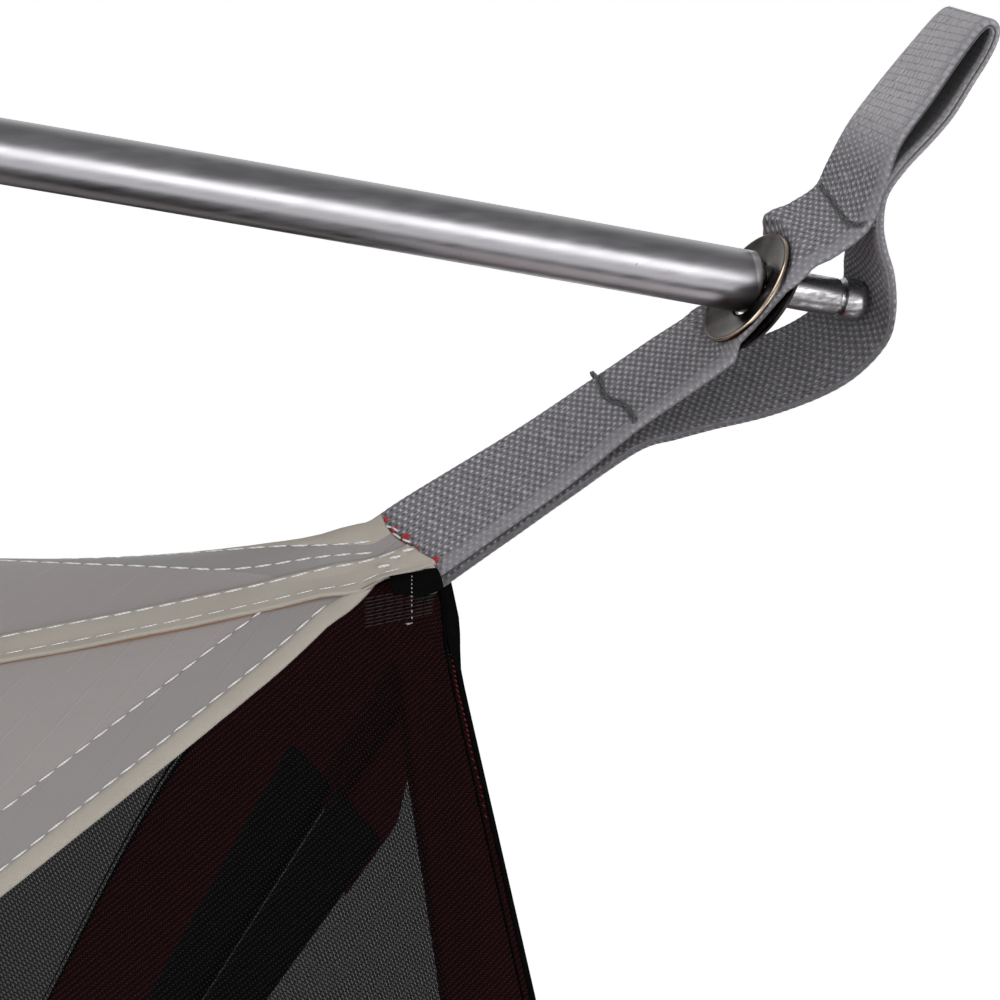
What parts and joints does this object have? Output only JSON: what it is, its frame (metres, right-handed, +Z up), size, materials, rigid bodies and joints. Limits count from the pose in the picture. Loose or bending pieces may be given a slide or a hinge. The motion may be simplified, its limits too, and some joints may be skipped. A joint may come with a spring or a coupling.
{
  "type": "two-person tent",
  "caption": "Free-standing ridge tent: mesh and cloth canopy with zipped side doors, hung by clips and corner tabs from an arched, hubbed pole frame.",
  "frame": {"origin": "on the ground under the middle of the tent", "axes": "+X across the tent through the right side door, +Y along the tent to its back end, +Z up"},
  "size_m": [1.3962, 2.3234, 1.1123],
  "materials": {
    "floor_cloth": "coated plain-weave nylon, dark red",
    "wall_cloth": "plain-weave nylon, dark red",
    "roof_cloth": "light plain-weave nylon, grey",
    "seam_tape": "cream binding tape",
    "canopy_mesh": "fine black insect mesh",
    "door_mesh": "fine grey insect mesh",
    "zip_tape": "black woven zip tape with a nylon coil",
    "webbing": "grey flat-woven webbing",
    "pole": "anodised grey, satin",
    "pole_tip": "turned, bright",
    "eyelet": "gunmetal-plated brass",
    "moulded_plastic": "moulded black nylon",
    "zip_slider": "black enamelled zinc"
  },
  "bodies": {
    "tent": {"bottom_zip_left": "zip_tape", "bottom_zip_right": "zip_tape", "corner_tab_back_left": "webbing", "corner_tab_back_right": "webbing", "corner_tab_front_left": "webbing", "corner_tab_front_right": "webbing", "end_mesh_back": "canopy_mesh", "end_mesh_front": "canopy_mesh", "floor_tub": "floor_cloth", "hub_back": "moulded_plastic", "hub_clip_back": "moulded_plastic", "hub_clip_front": "moulded_plastic", "hub_front": "moulded_plastic", "leg_clip_back_left": "moulded_plastic", "leg_clip_back_right": "moulded_plastic", "leg_clip_front_left": "moulded_plastic", "leg_clip_front_right": "moulded_plastic", "leg_lower_back_left": "pole", "leg_lower_back_right": "pole", "leg_lower_front_left": "pole", "leg_lower_front_right": "pole", "leg_upper_back_left": "pole", "leg_upper_back_right": "pole", "leg_upper_front_left": "pole", "leg_upper_front_right": "pole", "mesh_back_left": "canopy_mesh", "mesh_back_right": "canopy_mesh", "mesh_front_left": "canopy_mesh", "mesh_front_right": "canopy_mesh", "pole_crossing_clamp": "moulded_plastic", "ridge_clip_back": "moulded_plastic", "ridge_clip_front": "moulded_plastic", "ridge_pole_back": "pole", "ridge_pole_front": "pole", "roof_back": "roof_cloth", "roof_front": "roof_cloth", "roof_seam_tape": "seam_tape", "side_wall_left": "wall_cloth", "side_wall_right": "wall_cloth", "slant_zip_left": "zip_tape", "slant_zip_right": "zip_tape", "spreader_left": "pole", "spreader_middle": "pole", "spreader_right": "pole", "spreader_tip_left": "pole_tip", "spreader_tip_right": "pole_tip"},
    "door_right": {"door_right": "door_mesh"},
    "slant_slider_right": {"slant_slider_right": "zip_slider"},
    "slant_pull_right": {"slant_pull_right": "zip_slider"},
    "bottom_slider_right": {"bottom_slider_right": "zip_slider"},
    "bottom_pull_right": {"bottom_pull_right": "zip_slider"},
    "apex_tab_right": {"apex_webbing_right": "webbing", "apex_grommet_right": "eyelet"},
    "door_left": {"door_left": "door_mesh"},
    "slant_slider_left": {"slant_slider_left": "zip_slider"},
    "slant_pull_left": {"slant_pull_left": "zip_slider"},
    "bottom_slider_left": {"bottom_slider_left": "zip_slider"},
    "bottom_pull_left": {"bottom_pull_left": "zip_slider"},
    "apex_tab_left": {"apex_webbing_left": "webbing", "apex_grommet_left": "eyelet"}
  },
  "joints": [
    {"name": "door_right_hinge", "type": "hinge", "parent": "tent", "child": "door_right", "pos_m": [0.5775, -0.1575, 0.52], "axis": [0.0447, -0.4468, -0.8935], "range_deg": [0, 110]},
    {"name": "slant_slider_right_slide", "type": "slide", "parent": "tent", "child": "slant_slider_right", "axis": [-0.0335, -0.741, 0.6706], "range_m": [0, 1]},
    {"name": "slant_pull_right_hinge", "type": "hinge", "parent": "slant_slider_right", "child": "slant_pull_right", "pos_m": [0.5992, 0.85614, 0.16203], "axis": [0.037, -0.6715, -0.7401], "range_deg": [0, 150]},
    {"name": "bottom_slider_right_slide", "type": "slide", "parent": "tent", "child": "bottom_slider_right", "axis": [0, -1, 0], "range_m": [0, 1.17]},
    {"name": "bottom_pull_right_hinge", "type": "hinge", "parent": "bottom_slider_right", "child": "bottom_pull_right", "pos_m": [0.60055, 0.8458, 0.13519], "axis": [-0.0499, 0, 0.9988], "range_deg": [0, 150]},
    {"name": "apex_tab_right_slide", "type": "slide", "parent": "tent", "child": "apex_tab_right", "axis": [0.9548, 0, -0.2972], "range_m": [0, 0.022]},
    {"name": "door_left_hinge", "type": "hinge", "parent": "tent", "child": "door_left", "pos_m": [-0.5775, 0.1575, 0.52], "axis": [-0.0447, 0.4468, -0.8935], "range_deg": [0, 110]},
    {"name": "slant_slider_left_slide", "type": "slide", "parent": "tent", "child": "slant_slider_left", "axis": [0.0335, 0.741, 0.6706], "range_m": [0, 1]},
    {"name": "slant_pull_left_hinge", "type": "hinge", "parent": "slant_slider_left", "child": "slant_pull_left", "pos_m": [-0.5992, -0.85614, 0.16203], "axis": [-0.037, 0.6715, -0.7401], "range_deg": [0, 150]},
    {"name": "bottom_slider_left_slide", "type": "slide", "parent": "tent", "child": "bottom_slider_left", "axis": [0, 1, 0], "range_m": [0, 1.17]},
    {"name": "bottom_pull_left_hinge", "type": "hinge", "parent": "bottom_slider_left", "child": "bottom_pull_left", "pos_m": [-0.60055, -0.8458, 0.13519], "axis": [0.0499, 0, 0.9988], "range_deg": [0, 150]},
    {"name": "apex_tab_left_slide", "type": "slide", "parent": "tent", "child": "apex_tab_left", "axis": [-0.9548, 0, -0.2972], "range_m": [0, 0.022]}
  ]
}
